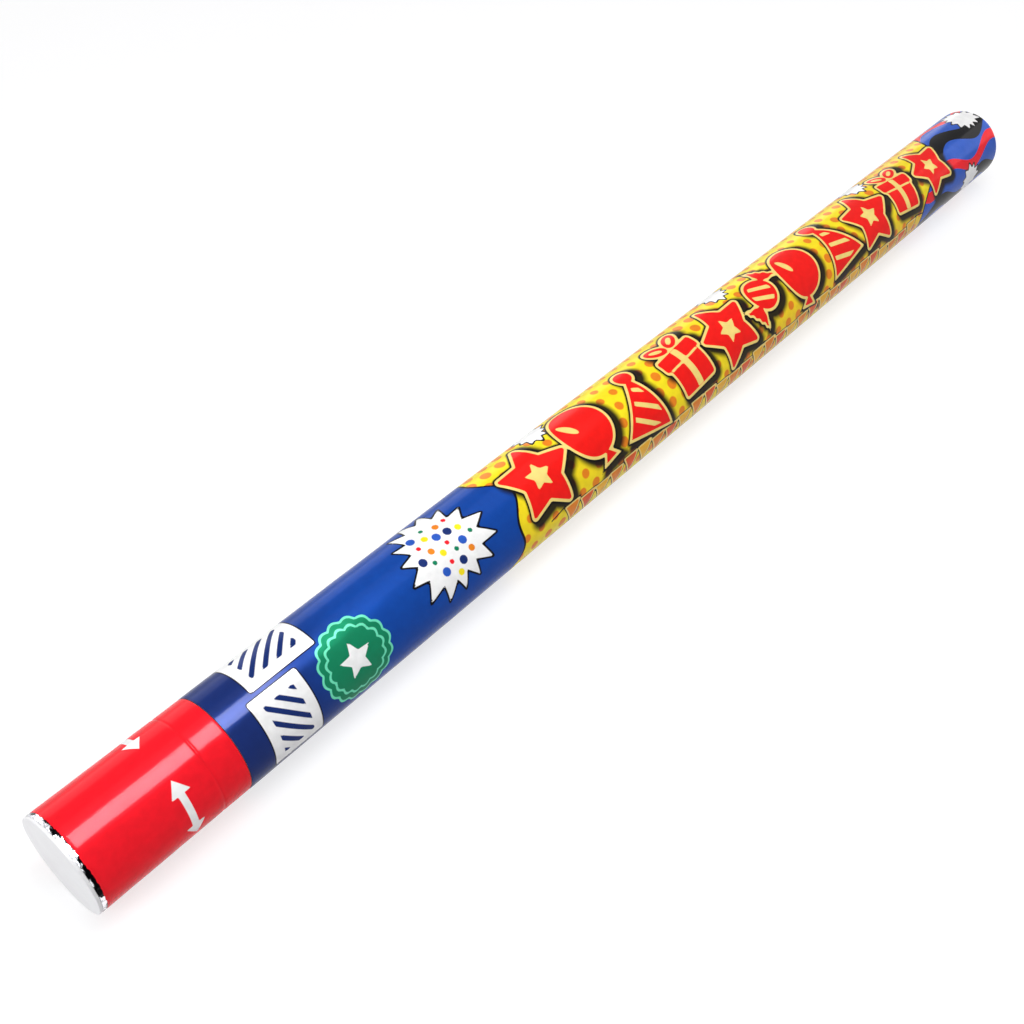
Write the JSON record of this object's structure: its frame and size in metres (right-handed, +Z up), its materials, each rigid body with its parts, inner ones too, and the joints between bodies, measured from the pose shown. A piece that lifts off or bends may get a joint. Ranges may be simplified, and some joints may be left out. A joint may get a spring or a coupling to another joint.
{
  "type": "confetti popper",
  "caption": "Hand-held compressed-air confetti popper: a printed card barrel on a twist grip that opens an air canister and drives the confetti out of the muzzle.",
  "frame": {"origin": "centre of the flat base end face, on the popper's axis", "axes": "+X along the axis from the base to the muzzle; +Z up, with the popper lying on its side"},
  "size_m": [0.78, 0.0496, 0.0494],
  "materials": {
    "white_plastic": "smooth moulded white plastic",
    "silver_foil": "crinkled bright metallised film",
    "grey_card": "wound grey-brown tube board",
    "red_print": "laminated red printed film",
    "blue_print": "laminated printed film, blue and yellow",
    "bare_aluminium": "drawn bare aluminium",
    "tinplate": "pressed tinplate",
    "black_rubber": "matt moulded rubber",
    "valve_plastic": "natural white moulded plastic",
    "kraft_paper": "wound kraft paper",
    "grey_felt": "pressed grey felt",
    "pusher_plastic": "black moulded plastic",
    "tissue_red": "red tissue slips",
    "tissue_yellow": "yellow tissue slips",
    "tissue_blue": "blue tissue slips",
    "tissue_green": "green tissue slips",
    "foil_silver": "silver-faced paper slips"
  },
  "bodies": {
    "barrel": {"barrel_tube": "grey_card", "barrel_wrap": "blue_print", "barrel_bush": "kraft_paper", "anchor_ring": "valve_plastic"},
    "grip": {"end_cap": "white_plastic", "rim_foil": "silver_foil", "grip_tube": "grey_card", "grip_wrap": "red_print", "air_canister": "bare_aluminium", "fill_plug": "black_rubber", "canister_liner": "kraft_paper", "valve_cup": "tinplate", "cup_gasket": "black_rubber", "nozzle": "valve_plastic", "nozzle_gasket": "black_rubber"},
    "plug": {"release_plug": "valve_plastic", "seal_ring": "black_rubber"},
    "pusher": {"pusher_cup": "pusher_plastic", "felt_wad": "grey_felt"},
    "load": {"confetti_red": "tissue_red", "confetti_yellow": "tissue_yellow", "confetti_blue": "tissue_blue", "confetti_green": "tissue_green", "confetti_silver": "foil_silver"},
    "muzzle_seal": {"muzzle_disc": "grey_card", "muzzle_foil": "silver_foil"}
  },
  "joints": [
    {"name": "grip_twist", "type": "hinge", "parent": "barrel", "child": "grip", "pos_m": [0.078, 0, 0], "axis": [1, 0, 0], "range_deg": [-90, 90]},
    {"name": "load_travel", "type": "slide", "parent": "barrel", "child": "load", "axis": [1, 0, 0], "range_m": [0, 0.67]},
    {"name": "pusher_travel", "type": "slide", "parent": "barrel", "child": "pusher", "axis": [1, 0, 0], "range_m": [0, 0.67]},
    {"name": "plug_travel", "type": "slide", "parent": "barrel", "child": "plug", "axis": [1, 0, 0], "range_m": [0, 0.67]},
    {"name": "seal_travel", "type": "slide", "parent": "barrel", "child": "muzzle_seal", "axis": [1, 0, 0], "range_m": [0, 0.67]}
  ],
  "couplings": [
    {"joint": "pusher_travel", "follows": "load_travel", "ratio": 1},
    {"joint": "plug_travel", "follows": "load_travel", "ratio": 1},
    {"joint": "seal_travel", "follows": "load_travel", "ratio": 1}
  ]
}
